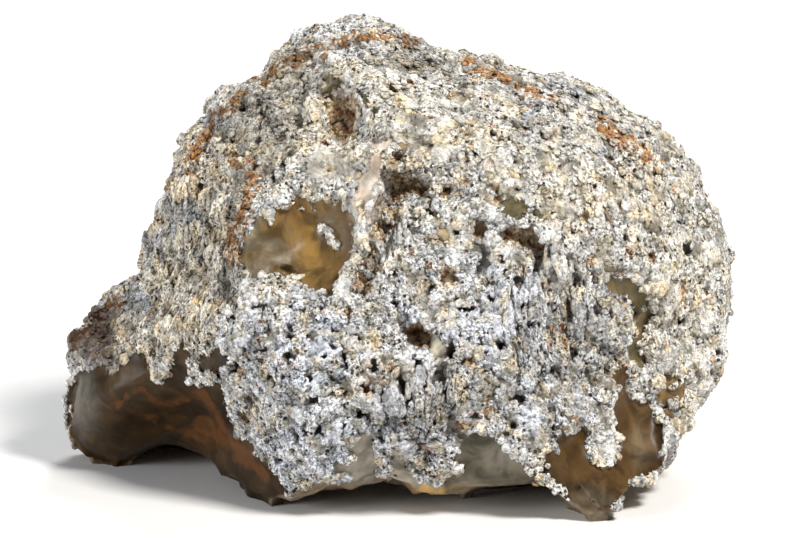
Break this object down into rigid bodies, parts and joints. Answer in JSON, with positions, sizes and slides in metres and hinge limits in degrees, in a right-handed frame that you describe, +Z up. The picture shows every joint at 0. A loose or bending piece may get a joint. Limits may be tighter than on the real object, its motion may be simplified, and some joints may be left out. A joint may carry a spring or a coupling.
{
  "type": "agate nodule",
  "caption": "Rough natural agate nodule with a knobbly pale rind, pitted ridges and broken translucent faces, lying on its flattish broken underside.",
  "frame": {"origin": "on the resting plane, in the flat worn patch of the underside, below the middle of the stone", "axes": "+Z up, +X to the right and -Y towards the viewer when the stone is seen from its crested front"},
  "size_m": [0.0709, 0.0513, 0.0477],
  "materials": {
    "agate": "matt sugary white to grey rind with rust stains; waxy translucent honey-brown and grey chalcedony where it has broken away"
  },
  "bodies": {
    "root": {"agate_nodule": "agate"}
  },
  "joints": []
}
